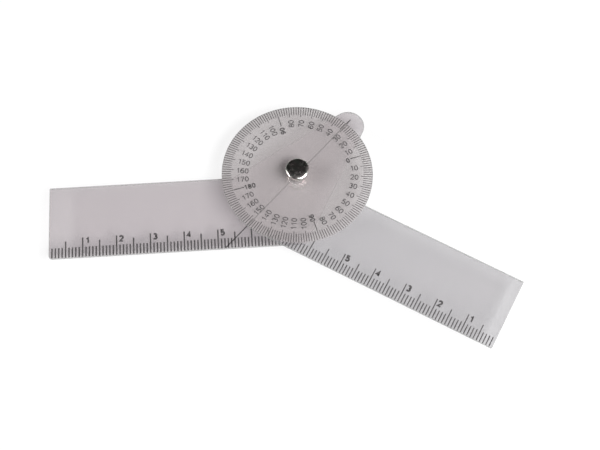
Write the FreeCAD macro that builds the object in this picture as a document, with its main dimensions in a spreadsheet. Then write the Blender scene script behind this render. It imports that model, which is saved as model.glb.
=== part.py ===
import FreeCAD, Part
import Sketcher
import math
import os

# Angle finder with arms: two clear plastic sheets that turn on one metal rivet.
# The upper sheet is a printed disc with a ruler arm, the lower one a ruler arm with a pointer.
# Frame: the origin is on the pivot's axis, in the plane that the rear cap rests on. +Z goes up
# through the rivet and +X along the dial arm, whose ruler edge faces -Y. The pointer sheet lies
# turned by the angle that the dial reads. Sizes are in millimetres and degrees.

DIMENSIONS = [
    ("sheet_thickness", 0.9, "both plastic sheets"),
    ("sheet_gap", 0.08, "free play between the two sheets"),
    ("dial_radius", 23.0, "printed disc, and the pivot's distance from both ruler edges"),
    ("dial_arm_length", 75.0, "pivot to the outer end of the upper sheet"),
    ("index_arm_length", 75.0, "pivot to the outer end of the lower sheet"),
    ("dial_corner_radius", 0.4, "ruler corner of the upper sheet"),
    ("index_corner_radius", 1.0, "ruler corner of the lower sheet"),
    ("rest_reading", 32.0, "angle that the dial reads as stored"),
    ("tab_past_rim", 0.24, "rim of the disc to the middle of the rounded tab"),
    ("tab_angle", 43.0, "middle of the rounded tab, from the arm's line"),
    ("tab_radius", 4.95, "rounded tab at the pointer's tip"),
    ("pointer_upper_angle", 30.3, "upper side of the pointer, from the arm's line"),
    ("pointer_lower_angle", 60.9, "lower side of the pointer, from the arm's line"),
    ("tube_radius", 1.6, "outside of the rivet's tube"),
    ("tube_bore_radius", 1.1, "inside of the rivet's tube"),
    ("pivot_clearance", 0.05, "radial play of each sheet on the tube"),
    ("stem_clearance", 0.02, "radial play of the stem in the tube"),
    ("cap_radius", 3.6, "widest part of each cap"),
    ("cap_height", 3.5, "lip to flat top of each cap"),
    ("cap_belly_height", 2.6, "lip to widest part of each cap"),
    ("cap_foot_radius", 2.75, "where the side of a cap turns under"),
    ("cap_wall", 0.3, "sheet metal of the caps"),
    ("lip_play", 0.1, "radial gap between a cap's lip and the tube"),
    ("flange_play", 0.25, "foot radius of a cap less the radius of the flange inside it"),
    ("flange_thickness", 0.4, "flanges of the tube and the stem"),
    ("rim_play", 0.05, "lower sheet to the lip of the rear cap"),
    ("stem_head_spread", 0.35, "reach of the stem's head past the tube's bore"),
    ("stem_head_thickness", 0.35, "stem's head"),
    ("ink_thickness", 0.03, "printed films"),
    ("ink_margin", 0.06, "bare strip between the printing and a cut edge"),
    ("dial_ruler_line_width", 0.31, "ruler lines of the upper sheet"),
    ("index_ruler_line_width", 0.43, "ruler lines of the lower sheet, printed bolder"),
    ("ruler_pitch", 1.0, "one millimetre line to the next"),
    ("ruler_bare", 7.0, "pivot to the last millimetre line"),
    ("ruler_unit_height", 3.2, "ruler edge to the top of a millimetre line"),
    ("ruler_half_height", 5.2, "ruler edge to the top of a half-centimetre line"),
    ("ruler_full_height", 6.2, "ruler edge to the top of a centimetre line"),
    ("degree_line_width", 0.2, "two-degree and ten-degree lines"),
    ("degree_line_length", 2.85, "rim to the inner end of a two-degree line"),
    ("ten_line_extra", 0.7, "reach of a ten-degree line past a two-degree line"),
    ("main_line_width", 0.25, "lines at right angles, inside the ten-degree lines"),
    ("main_line_extra", 2.5, "reach of a line at a right angle past a ten-degree line"),
    ("zero_angle", 45.0, "zero line of the dial, from the dial arm"),
    ("index_line_width", 0.35, "reading line of the pointer"),
    ("index_line_angle", 45.0, "reading line, from the arm's line"),
    ("index_line_bare", 2.8, "bare tip of the tab beyond the reading line"),
]

FULL_TURN = 360
TWO_DEGREE_LINES = 180
TEN_DEGREE_LINES = 36
MAIN_LINES = 4
UNITS_PER_HALF = 5
UNITS_PER_FULL = 10

# A sketch's own axes, and the places on a line or an arc. The origin starts the first axis.
ACROSS_AXIS, UP_AXIS = -1, -2
START, END, CENTRE = range(1, 4)
ORIGIN = (ACROSS_AXIS, START)

document = FreeCAD.newDocument("angle_finder")
sheet = document.addObject("Spreadsheet::Sheet", "dims")
for row, (alias, number, meaning) in enumerate(DIMENSIONS, start=1):
    sheet.set("A%d" % row, alias)
    sheet.set("B%d" % row, str(number))
    sheet.set("C%d" % row, meaning)
    sheet.setAlias("B%d" % row, alias)
document.recompute()


def size(alias):
    """Number in one cell of the sheet."""
    return float(getattr(sheet, alias))


# Expressions that several pieces share. Heights count from the plane that the rear cap rests on.
# Each ruler edge is level with the rim of the disc.
RULER_EDGE = "-dims.dial_radius"
ARM_MIDDLE = "-dims.dial_radius / 2"
TAB_REACH = "(dims.dial_radius + dims.tab_past_rim)"
LIP_BORE = "(dims.tube_radius + dims.lip_play)"
FLANGE_RADIUS = "(dims.cap_foot_radius - dims.flange_play)"
PIVOT_HOLE = "(dims.tube_radius + dims.pivot_clearance)"
REAR_LIP = "(dims.cap_height - dims.cap_wall)"
INDEX_FLOOR = "(dims.cap_height + dims.rim_play)"
INDEX_TOP = "(%s + dims.sheet_thickness)" % INDEX_FLOOR
DIAL_FLOOR = "(%s + dims.sheet_gap)" % INDEX_TOP
DIAL_TOP = "(%s + dims.sheet_thickness)" % DIAL_FLOOR
FRONT_LIP = "(%s + dims.cap_wall)" % DIAL_TOP
TUBE_MOUTH = "(%s + dims.flange_thickness)" % FRONT_LIP
TEN_REACH = "dims.degree_line_length + dims.ten_line_extra"
UNIT_MARKS = "floor((dims.%s - dims.ruler_bare) / dims.ruler_pitch)"


def make_body(name, height, turn=None):
    """Body under its own label, raised and turned by expressions of the sheet."""
    body = document.addObject("PartDesign::Body", name)
    body.Label = name
    body.AllowCompound = True
    if turn is not None:
        body.Placement.Rotation = FreeCAD.Rotation(FreeCAD.Vector(0, 0, 1), size("rest_reading"))
        body.setExpression("Placement.Rotation.Angle", turn)
    body.setExpression("Placement.Base.z", height)
    return body


def origin_feature(body, role):
    """One of the body's own origin planes or axes."""
    return [item for item in body.Origin.OriginFeatures if item.Role == role][0]


def make_sketch(body, name, plane="XY_Plane"):
    """Empty sketch on one of the body's own origin planes."""
    sketch = body.newObject("Sketcher::SketchObject", name)
    sketch.AttachmentSupport = [(origin_feature(body, plane), "")]
    sketch.MapMode = "FlatFace"
    return sketch


def vector(across, up):
    """Point in a sketch."""
    return FreeCAD.Vector(across, up, 0)


def drive(sketch, name, expression, kind, *places):
    """Add one named size to a sketch, tied to the sheet."""
    index = sketch.addConstraint(Sketcher.Constraint(kind, *places))
    sketch.renameConstraint(index, name)
    sketch.setExpression("Constraints.%s" % name, expression)


def place_point(sketch, name, geometry, place, point, across=None, up=None):
    """Hold one point of a sketch at the distances from its origin that the expressions give."""
    if across is not None:
        places = (*ORIGIN, geometry, place, point.x)
        drive(sketch, name + "_across", across, "DistanceX", *places)
    if up is not None:
        places = (*ORIGIN, geometry, place, point.y)
        drive(sketch, name + "_up", up, "DistanceY", *places)


def join(sketch, first, second):
    """Join the end of one piece of an outline to the start of the next."""
    sketch.addConstraint(Sketcher.Constraint("Coincident", first, END, second, START))


def add_lines(sketch, points, closed=True):
    """Straight lines through the points, joined end to end."""
    ends = points[1:] + points[:1] if closed else points[1:]
    lines = [sketch.addGeometry(Part.LineSegment(a, b)) for a, b in zip(points, ends)]
    for first, second in zip(lines, lines[1:]):
        join(sketch, first, second)
    if closed:
        join(sketch, lines[-1], lines[0])
    return lines


def add_arc(sketch, centre, radius, start, end):
    """Arc counter-clockwise from one angle to the other, in radians."""
    circle = Part.Circle(FreeCAD.Vector(centre), FreeCAD.Vector(0, 0, 1), radius)
    return sketch.addGeometry(Part.ArcOfCircle(circle, start, end))


def add_circle(sketch, name, radius, expression):
    """Circle about the sketch's origin."""
    normal = FreeCAD.Vector(0, 0, 1)
    index = sketch.addGeometry(Part.Circle(FreeCAD.Vector(0, 0, 0), normal, radius))
    sketch.addConstraint(Sketcher.Constraint("Coincident", index, CENTRE, *ORIGIN))
    drive(sketch, name, expression, "Radius", index, radius)


def add_rectangle(sketch, name, low, high, low_across, low_up, high_across, high_up):
    """Upright rectangle whose low and high corners follow four expressions."""
    corners = [low, vector(high.x, low.y), high, vector(low.x, high.y)]
    lines = add_lines(sketch, corners)
    for line, kind in zip(lines, ("Horizontal", "Vertical", "Horizontal", "Vertical")):
        sketch.addConstraint(Sketcher.Constraint(kind, line))
    place_point(sketch, name + "_low", lines[0], START, low, low_across, low_up)
    place_point(sketch, name + "_high", lines[2], START, high, high_across, high_up)


def pad(body, sketch, name, thickness):
    """Raise a sketch upwards by a thickness of the sheet."""
    feature = body.newObject("PartDesign::Pad", name)
    feature.Profile = sketch
    feature.setExpression("Length", thickness)
    return feature


def cut_through(body, sketch, name):
    """Cut a sketch through everything above its plane, and check that material went."""
    document.recompute()
    before = body.Shape.Volume
    feature = body.newObject("PartDesign::Pocket", name)
    feature.Profile = sketch
    feature.Type = "ThroughAll"
    feature.Reversed = True
    document.recompute()
    if not body.Shape.Volume < before:
        raise RuntimeError("%s removes nothing" % name)


def cut_circle(body, name, radius_alias, radius_expression):
    """Round cut through a body, about its own axis."""
    sketch = make_sketch(body, name + "_outline")
    add_circle(sketch, "radius", size(radius_alias), radius_expression)
    cut_through(body, sketch, name)


def repeat_round(body, feature, name, count):
    """Copies of a feature at equal angles about the body's own axis."""
    pattern = body.newObject("PartDesign::PolarPattern", name)
    pattern.Originals = [feature]
    pattern.Axis = (origin_feature(body, "Z_Axis"), [""])
    pattern.Angle = FULL_TURN
    pattern.Occurrences = count
    body.Tip = pattern


def repeat_along(body, feature, name, inwards, count, pitch):
    """Copies of a feature along the arm, from its outer end inwards."""
    pattern = body.newObject("PartDesign::LinearPattern", name)
    pattern.Originals = [feature]
    pattern.Direction = (origin_feature(body, "X_Axis"), [""])
    pattern.Reversed = inwards < 0
    pattern.setExpression("Length", "(%s - 1) * %s" % (count, pitch))
    pattern.setExpression("Occurrences", count)
    body.Tip = pattern


def add_arm(body, side, length_alias, corner_alias, inner_across, inner_expression):
    """Straight arm below the line through the pivot, with its outer ruler corner rounded.

    side is 1 for an arm towards +X and -1 for one towards -X. The arm starts at inner_across.
    """
    sign = "" if side > 0 else "-"
    length = side * size(length_alias)
    width = size("dial_radius")
    corner = size(corner_alias)
    sketch = make_sketch(body, "arm_outline")
    points = [
        vector(length - side * corner, -width),
        vector(inner_across, -width),
        vector(inner_across, 0),
        vector(length, 0),
        vector(length, corner - width),
    ]
    bottom, inner, top, end = add_lines(sketch, points, closed=False)
    for line in (bottom, top):
        sketch.addConstraint(Sketcher.Constraint("Horizontal", line))
    for line in (inner, end):
        sketch.addConstraint(Sketcher.Constraint("Vertical", line))
    centre = vector(length - side * corner, corner - width)
    if side > 0:
        rounding = add_arc(sketch, centre, corner, -math.pi / 2, 0)
        lower, upper = START, END
    else:
        rounding = add_arc(sketch, centre, corner, -math.pi, -math.pi / 2)
        lower, upper = END, START
    sketch.addConstraint(Sketcher.Constraint("Tangent", bottom, START, rounding, lower))
    sketch.addConstraint(Sketcher.Constraint("Tangent", end, END, rounding, upper))
    drive(sketch, "corner", "dims.%s" % corner_alias, "Radius", rounding, corner)
    place_point(sketch, "inner", bottom, END, points[1], inner_expression, RULER_EDGE)
    place_point(sketch, "outer", top, END, points[3], "%sdims.%s" % (sign, length_alias))
    sketch.addConstraint(Sketcher.Constraint("PointOnObject", top, END, ACROSS_AXIS))
    pad(body, sketch, "arm", "dims.sheet_thickness")


def build_dial_sheet():
    """Upper sheet: the disc and its arm in one piece, with the pivot hole."""
    body = make_body("dial_sheet", DIAL_FLOOR)
    disc = make_sketch(body, "disc_outline")
    add_circle(disc, "radius", size("dial_radius"), "dims.dial_radius")
    pad(body, disc, "disc", "dims.sheet_thickness")
    add_arm(body, 1, "dial_arm_length", "dial_corner_radius", 0, "0")
    cut_circle(body, "pivot_hole", "tube_radius", PIVOT_HOLE)
    return body


def build_index_sheet():
    """Lower sheet: the arm and the pointer, whose two sides run tangent into a round tab."""
    body = make_body("index_sheet", INDEX_FLOOR, "dims.rest_reading")
    width = size("dial_radius")
    root = -width / 2
    add_arm(body, -1, "index_arm_length", "index_corner_radius", root, ARM_MIDDLE)

    reach = width + size("tab_past_rim")
    turn = math.radians(size("tab_angle"))
    middle = vector(reach * math.cos(turn), reach * math.sin(turn))
    radius = size("tab_radius")
    upper = math.radians(size("pointer_upper_angle"))
    lower = math.radians(size("pointer_lower_angle"))
    upper_touch = middle + vector(-math.sin(upper), math.cos(upper)) * radius
    lower_touch = middle + vector(math.sin(lower), -math.cos(lower)) * radius
    upper_foot = vector(upper_touch.x - upper_touch.y / math.tan(upper), 0)
    lower_foot = vector(lower_touch.x - (lower_touch.y + width) / math.tan(lower), -width)

    sketch = make_sketch(body, "pointer_outline")
    points = [upper_touch, upper_foot, vector(root, -width), lower_foot, lower_touch]
    upper_side, back, base, lower_side = add_lines(sketch, points, closed=False)
    tab = add_arc(sketch, middle, radius, lower - math.pi / 2, upper + math.pi / 2)
    sketch.addConstraint(Sketcher.Constraint("Tangent", lower_side, END, tab, START))
    sketch.addConstraint(Sketcher.Constraint("Tangent", upper_side, START, tab, END))
    sketch.addConstraint(Sketcher.Constraint("PointOnObject", upper_side, END, ACROSS_AXIS))
    sketch.addConstraint(Sketcher.Constraint("Horizontal", base))
    place_point(sketch, "tab", tab, CENTRE, middle,
                "%s * cos(dims.tab_angle * 1 deg)" % TAB_REACH,
                "%s * sin(dims.tab_angle * 1 deg)" % TAB_REACH)
    place_point(sketch, "root", back, END, points[2], ARM_MIDDLE, RULER_EDGE)
    drive(sketch, "tab_size", "dims.tab_radius", "Radius", tab, radius)
    drive(sketch, "upper_slope", "dims.pointer_upper_angle * 1 deg", "Angle",
          ACROSS_AXIS, START, upper_side, END, upper)
    drive(sketch, "lower_slope", "dims.pointer_lower_angle * 1 deg", "Angle",
          ACROSS_AXIS, START, lower_side, START, lower)
    pad(body, sketch, "pointer", "dims.sheet_thickness")
    cut_circle(body, "pivot_hole", "tube_radius", PIVOT_HOLE)
    return body


def build_cap(name, height):
    """Hollow cap of sheet metal, opening downwards, with its lip turned in under the flange."""
    body = make_body(name, height)
    bore = size("tube_radius") + size("lip_play")
    foot = size("cap_foot_radius")
    belly = size("cap_belly_height")
    wall = size("cap_wall")
    top = size("cap_height")
    widest = size("cap_radius")
    side_radius = ((widest - foot) ** 2 + belly ** 2) / (2 * (widest - foot))
    side_centre = vector(widest - side_radius, belly)
    crown_radius = top - belly
    crown_centre = vector(widest - crown_radius, belly)
    inner_side = side_radius - wall
    inner_foot = vector(side_centre.x + math.sqrt(inner_side ** 2 - (belly - wall) ** 2), wall)
    outer_start = math.atan2(-belly, foot - side_centre.x)
    inner_start = math.atan2(wall - belly, inner_foot.x - side_centre.x)

    sketch = make_sketch(body, "section", "XZ_Plane")
    lip = [inner_foot, vector(bore, wall), vector(bore, 0), vector(foot, 0)]
    lip_inside, lip_edge, lip_outside = add_lines(sketch, lip, closed=False)
    flat = [vector(crown_centre.x, top), vector(0, top), vector(0, top - wall),
            vector(crown_centre.x, top - wall)]
    flat_outside, axis_line, flat_inside = add_lines(sketch, flat, closed=False)
    side = add_arc(sketch, side_centre, side_radius, outer_start, 0)
    crown = add_arc(sketch, crown_centre, crown_radius, 0, math.pi / 2)
    crown_inside = add_arc(sketch, crown_centre, crown_radius - wall, 0, math.pi / 2)
    side_inside = add_arc(sketch, side_centre, inner_side, inner_start, 0)

    join(sketch, lip_outside, side)
    join(sketch, side, crown)
    join(sketch, crown, flat_outside)
    sketch.addConstraint(Sketcher.Constraint("Coincident", flat_inside, END, crown_inside, END))
    sketch.addConstraint(Sketcher.Constraint("Coincident", crown_inside, START, side_inside, END))
    sketch.addConstraint(Sketcher.Constraint("Coincident", side_inside, START, lip_inside, START))
    sketch.addConstraint(Sketcher.Constraint("Coincident", crown, CENTRE, crown_inside, CENTRE))
    sketch.addConstraint(Sketcher.Constraint("Coincident", side, CENTRE, side_inside, CENTRE))
    for line in (lip_inside, lip_outside, flat_outside, flat_inside):
        sketch.addConstraint(Sketcher.Constraint("Horizontal", line))
    sketch.addConstraint(Sketcher.Constraint("Vertical", lip_edge))
    sketch.addConstraint(Sketcher.Constraint("PointOnObject", lip_outside, START, ACROSS_AXIS))
    sketch.addConstraint(Sketcher.Constraint("PointOnObject", axis_line, START, UP_AXIS))
    sketch.addConstraint(Sketcher.Constraint("PointOnObject", axis_line, END, UP_AXIS))
    sketch.addConstraint(Sketcher.Constraint("Vertical", crown, CENTRE, crown, END))
    sketch.addConstraint(Sketcher.Constraint("Vertical", crown, CENTRE, crown_inside, END))
    sketch.addConstraint(Sketcher.Constraint("Horizontal", side, CENTRE, side, END))
    sketch.addConstraint(Sketcher.Constraint("Horizontal", crown, CENTRE, side, END))
    sketch.addConstraint(Sketcher.Constraint("Horizontal", side, CENTRE, side_inside, END))
    place_point(sketch, "bore", lip_outside, START, lip[2], LIP_BORE)
    place_point(sketch, "foot", lip_outside, END, lip[3], "dims.cap_foot_radius")
    place_point(sketch, "belly", side, END, vector(widest, belly),
                "dims.cap_radius", "dims.cap_belly_height")
    place_point(sketch, "top", axis_line, START, flat[1], up="dims.cap_height")
    place_point(sketch, "ceiling", axis_line, END, flat[2], up="dims.cap_height - dims.cap_wall")
    place_point(sketch, "floor", lip_inside, END, lip[1], up="dims.cap_wall")

    revolution = body.newObject("PartDesign::Revolution", "shell")
    revolution.Profile = sketch
    revolution.ReferenceAxis = (origin_feature(body, "Z_Axis"), [""])
    revolution.Angle = FULL_TURN
    return body


def build_front_cap():
    """Cap that shows on top of the dial."""
    return build_cap("rivet_front_cap", DIAL_TOP)


def build_rear_cap():
    """The same cap under the lower sheet, upside down on its flat top."""
    body = build_cap("rivet_rear_cap", "dims.cap_height")
    body.Placement.Rotation = FreeCAD.Rotation(FreeCAD.Vector(1, 0, 0), 180)
    return body


def add_turned_step(body, name, radius, bottom, top,
                    radius_expression, bottom_expression, top_expression):
    """Solid round step of a turned piece, between two heights."""
    sketch = make_sketch(body, name + "_outline", "XZ_Plane")
    add_rectangle(sketch, "step", vector(0, bottom), vector(radius, top),
                  "0", bottom_expression, radius_expression, top_expression)
    revolution = body.newObject("PartDesign::Revolution", name)
    revolution.Profile = sketch
    revolution.ReferenceAxis = (origin_feature(body, "Z_Axis"), [""])
    revolution.Angle = FULL_TURN


def lip_to_lip():
    """Length of the tube from under the rear cap's lip to above the front cap's lip."""
    sheets = 2 * size("sheet_thickness") + size("sheet_gap") + size("rim_play")
    return sheets + 2 * size("cap_wall")


def flange_radius():
    """Radius of the flanges that sit inside the caps."""
    return size("cap_foot_radius") - size("flange_play")


def build_tube():
    """Tube that both sheets turn on, with its flange on the lip inside the front cap."""
    body = make_body("rivet_tube", REAR_LIP)
    shank = "(%s - %s)" % (FRONT_LIP, REAR_LIP)
    mouth = "(%s - %s)" % (TUBE_MOUTH, REAR_LIP)
    seat = lip_to_lip()
    top = seat + size("flange_thickness")
    add_turned_step(body, "shank", size("tube_radius"), 0, top, "dims.tube_radius", "0", mouth)
    add_turned_step(body, "flange", flange_radius(), seat, top, FLANGE_RADIUS, shank, mouth)
    cut_circle(body, "bore", "tube_bore_radius", "dims.tube_bore_radius")
    return body


def build_stem():
    """Stem pressed up through the tube: a flange in the rear cap and a spread head in the front one."""
    body = make_body("rivet_stem", "%s - dims.flange_thickness" % REAR_LIP)
    base = size("flange_thickness")
    neck = base + lip_to_lip() + size("flange_thickness")
    tip = neck + size("stem_head_thickness")
    neck_expression = "(%s - %s + dims.flange_thickness)" % (TUBE_MOUTH, REAR_LIP)
    tip_expression = "(%s + dims.stem_head_thickness)" % neck_expression
    shank_radius = size("tube_bore_radius") - size("stem_clearance")
    head_radius = size("tube_bore_radius") + size("stem_head_spread")
    add_turned_step(body, "flange", flange_radius(), 0, base,
                    FLANGE_RADIUS, "0", "dims.flange_thickness")
    add_turned_step(body, "shank", shank_radius, 0, tip,
                    "dims.tube_bore_radius - dims.stem_clearance", "0", tip_expression)
    add_turned_step(body, "head", head_radius, neck, tip,
                    "dims.tube_bore_radius + dims.stem_head_spread", neck_expression, tip_expression)
    return body


def add_ruler_lines(body, side, name, length_alias, width_alias, height_alias, units):
    """One set of equal ruler lines: the outermost one, then its copies towards the pivot."""
    sign = "" if side > 0 else "-"
    step = units * size("ruler_pitch")
    half = size(width_alias) / 2
    across = side * (size(length_alias) - step)
    width = size("dial_radius")
    place = "%s(dims.%s - %d * dims.ruler_pitch)" % (sign, length_alias, units)
    sketch = make_sketch(body, name + "_outline")
    add_rectangle(sketch, "line",
                  vector(across - half, size("ink_margin") - width),
                  vector(across + half, size(height_alias) - width),
                  "%s - dims.%s / 2" % (place, width_alias),
                  "dims.ink_margin - dims.dial_radius",
                  "%s + dims.%s / 2" % (place, width_alias),
                  "dims.%s - dims.dial_radius" % height_alias)
    first = pad(body, sketch, name + "_first", "dims.ink_thickness")
    count = "floor(%s / %d)" % (UNIT_MARKS % length_alias, units)
    repeat_along(body, first, name, -side, count, "%d * dims.ruler_pitch" % units)


def build_ruler(name, side, length_alias, width_alias, height, turn=None):
    """Printed ruler of one arm: millimetre, half-centimetre and centimetre lines."""
    body = make_body(name, height, turn)
    add_ruler_lines(body, side, "units", length_alias, width_alias, "ruler_unit_height", 1)
    add_ruler_lines(body, side, "halves", length_alias, width_alias, "ruler_half_height", UNITS_PER_HALF)
    add_ruler_lines(body, side, "fulls", length_alias, width_alias, "ruler_full_height", UNITS_PER_FULL)
    return body


def build_dial_ruler():
    """Ruler of the upper sheet, which stops at the disc's rim."""
    body = build_ruler("dial_ruler_lines", 1, "dial_arm_length", "dial_ruler_line_width", DIAL_TOP)
    cut_circle(body, "rim", "dial_radius", "dims.dial_radius + dims.ink_margin")
    return body


def build_index_ruler():
    """Ruler of the lower sheet."""
    return build_ruler("index_ruler_lines", -1, "index_arm_length", "index_ruler_line_width", INDEX_TOP,
                       "dims.rest_reading")


def build_dial_lines(name, count, width_alias, inner, outer, inner_expression, outer_expression):
    """Equal lines all round the disc, between two distances from its rim."""
    body = make_body(name, DIAL_TOP, "dims.zero_angle")
    half = size(width_alias) / 2
    rim = size("dial_radius")
    sketch = make_sketch(body, "line_outline")
    add_rectangle(sketch, "line", vector(rim - inner, -half), vector(rim - outer, half),
                  "dims.dial_radius - (%s)" % inner_expression, "-dims.%s / 2" % width_alias,
                  "dims.dial_radius - (%s)" % outer_expression, "dims.%s / 2" % width_alias)
    first = pad(body, sketch, "line", "dims.ink_thickness")
    repeat_round(body, first, "lines", count)
    return body


def build_degree_lines():
    """One line to every two degrees, in from the disc's rim."""
    return build_dial_lines("dial_degree_lines", TWO_DEGREE_LINES, "degree_line_width",
                            size("degree_line_length"), size("ink_margin"),
                            "dims.degree_line_length", "dims.ink_margin")


def build_ten_lines():
    """Longer inner ends of the lines at each ten degrees."""
    inner = size("degree_line_length") + size("ten_line_extra")
    return build_dial_lines("dial_ten_lines", TEN_DEGREE_LINES, "degree_line_width",
                            inner, size("degree_line_length"), TEN_REACH, "dims.degree_line_length")


def build_main_lines():
    """Inner ends of the four lines at right angles, which point at the bold numbers."""
    outer = size("degree_line_length") + size("ten_line_extra")
    return build_dial_lines("dial_main_lines", MAIN_LINES, "main_line_width",
                            outer + size("main_line_extra"), outer,
                            "%s + dims.main_line_extra" % TEN_REACH, TEN_REACH)


def build_reading_line():
    """Line along the pointer, from the ruler edge over the pivot to the tab."""
    body = make_body("index_reading_line", INDEX_TOP, "dims.rest_reading + dims.index_line_angle")
    angle = math.radians(size("index_line_angle"))
    half = size("index_line_width") / 2
    tail = (size("dial_radius") - size("ink_margin") - half * math.cos(angle)) / math.sin(angle)
    turn = math.radians(size("tab_angle") - size("index_line_angle"))
    reach = (size("dial_radius") + size("tab_past_rim")) * math.cos(turn)
    tip = reach + size("tab_radius") - size("index_line_bare")
    tail_expression = ("-(dims.dial_radius - dims.ink_margin - dims.index_line_width / 2"
                       " * cos(dims.index_line_angle * 1 deg)) / sin(dims.index_line_angle * 1 deg)")
    tip_expression = ("%s * cos((dims.tab_angle - dims.index_line_angle) * 1 deg)"
                      " + dims.tab_radius - dims.index_line_bare" % TAB_REACH)
    sketch = make_sketch(body, "line_outline")
    add_rectangle(sketch, "line", vector(-tail, -half), vector(tip, half),
                  tail_expression, "-dims.index_line_width / 2",
                  tip_expression, "dims.index_line_width / 2")
    pad(body, sketch, "line", "dims.ink_thickness")
    cut_circle(body, "pivot_hole", "tube_radius", "%s + dims.ink_margin" % PIVOT_HOLE)
    return body


parts = [
    build_dial_sheet(),
    build_index_sheet(),
    build_front_cap(),
    build_tube(),
    build_stem(),
    build_rear_cap(),
    build_degree_lines(),
    build_ten_lines(),
    build_main_lines(),
    build_dial_ruler(),
    build_index_ruler(),
    build_reading_line(),
]
document.recompute()

for item in document.Objects:
    if "Invalid" in item.State or "Error" in item.State:
        raise RuntimeError("%s failed: %s" % (item.Name, item.State))
for part in parts:
    if part.Shape.isNull() or not part.Shape.isValid():
        raise RuntimeError("%s has no valid shape" % part.Label)

os.makedirs("parts", exist_ok=True)
for part in parts:
    part.Shape.exportStep("parts/%s.step" % part.Label)
    box = part.Shape.BoundBox
    print("%-20s %3d solids %9.3f mm3  x %.2f to %.2f  y %.2f to %.2f  z %.2f to %.2f" % (
        part.Label, len(part.Shape.Solids), part.Shape.Volume,
        box.XMin, box.XMax, box.YMin, box.YMax, box.ZMin, box.ZMax))
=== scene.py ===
"""Angle finder with arms: the looks of its two clear sheets, printing and rivet."""

import logging
import math
from dataclasses import dataclass
from enum import Enum

import bmesh
import bpy
import numpy as np
from mathutils import Matrix, Vector


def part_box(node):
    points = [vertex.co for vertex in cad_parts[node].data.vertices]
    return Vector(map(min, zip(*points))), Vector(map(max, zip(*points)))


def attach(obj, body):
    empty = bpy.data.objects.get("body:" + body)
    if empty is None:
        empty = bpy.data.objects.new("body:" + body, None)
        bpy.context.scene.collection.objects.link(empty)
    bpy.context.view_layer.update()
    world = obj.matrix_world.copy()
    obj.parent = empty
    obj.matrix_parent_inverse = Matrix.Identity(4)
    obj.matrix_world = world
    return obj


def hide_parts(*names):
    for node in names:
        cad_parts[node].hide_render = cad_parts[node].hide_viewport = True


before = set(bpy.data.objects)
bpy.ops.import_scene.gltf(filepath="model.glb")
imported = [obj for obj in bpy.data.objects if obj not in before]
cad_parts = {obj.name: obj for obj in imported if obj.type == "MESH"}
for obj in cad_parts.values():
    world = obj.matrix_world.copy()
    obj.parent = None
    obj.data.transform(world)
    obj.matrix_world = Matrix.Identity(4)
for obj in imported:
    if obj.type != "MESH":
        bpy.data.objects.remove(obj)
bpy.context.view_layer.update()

MM = 0.001
MERGE_DISTANCE = MM / 1000
ARM_LENGTH = 75.0
ARM_WIDTH = 23.0
LOG = logging.getLogger("angle_finder")


class Body(Enum):
    """Bodies of the frame that pieces ride on."""

    DIAL = "dial"
    INDEX = "index"


class Slot(Enum):
    """Names of material slots; no piece in this script is given one of them."""

    PLASTIC = "clear_plastic"
    INK = "ink"
    NICKEL = "nickel"


@dataclass(frozen=True)
class Grain:
    """Noise pattern of a surface.

    Attributes:
        scale: Grains to a metre, or to a unit of what the noise is read from.
        detail: Octaves of the noise.
        low: Noise at which what it drives starts to change.
        high: Noise at which the change is complete.
        stretch: Factor on each coordinate before the noise is read.
        turn: Turn about Z before the stretch, in radians.
    """

    scale: float
    detail: float
    low: float = 0.0
    high: float = 1.0
    stretch: tuple[float, float, float] = (1.0, 1.0, 1.0)
    turn: float = 0.0


@dataclass(frozen=True)
class Relief:
    """Fine relief of a surface: its grain, its strength and its height in metres."""

    grain: Grain
    strength: float
    height: float


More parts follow.
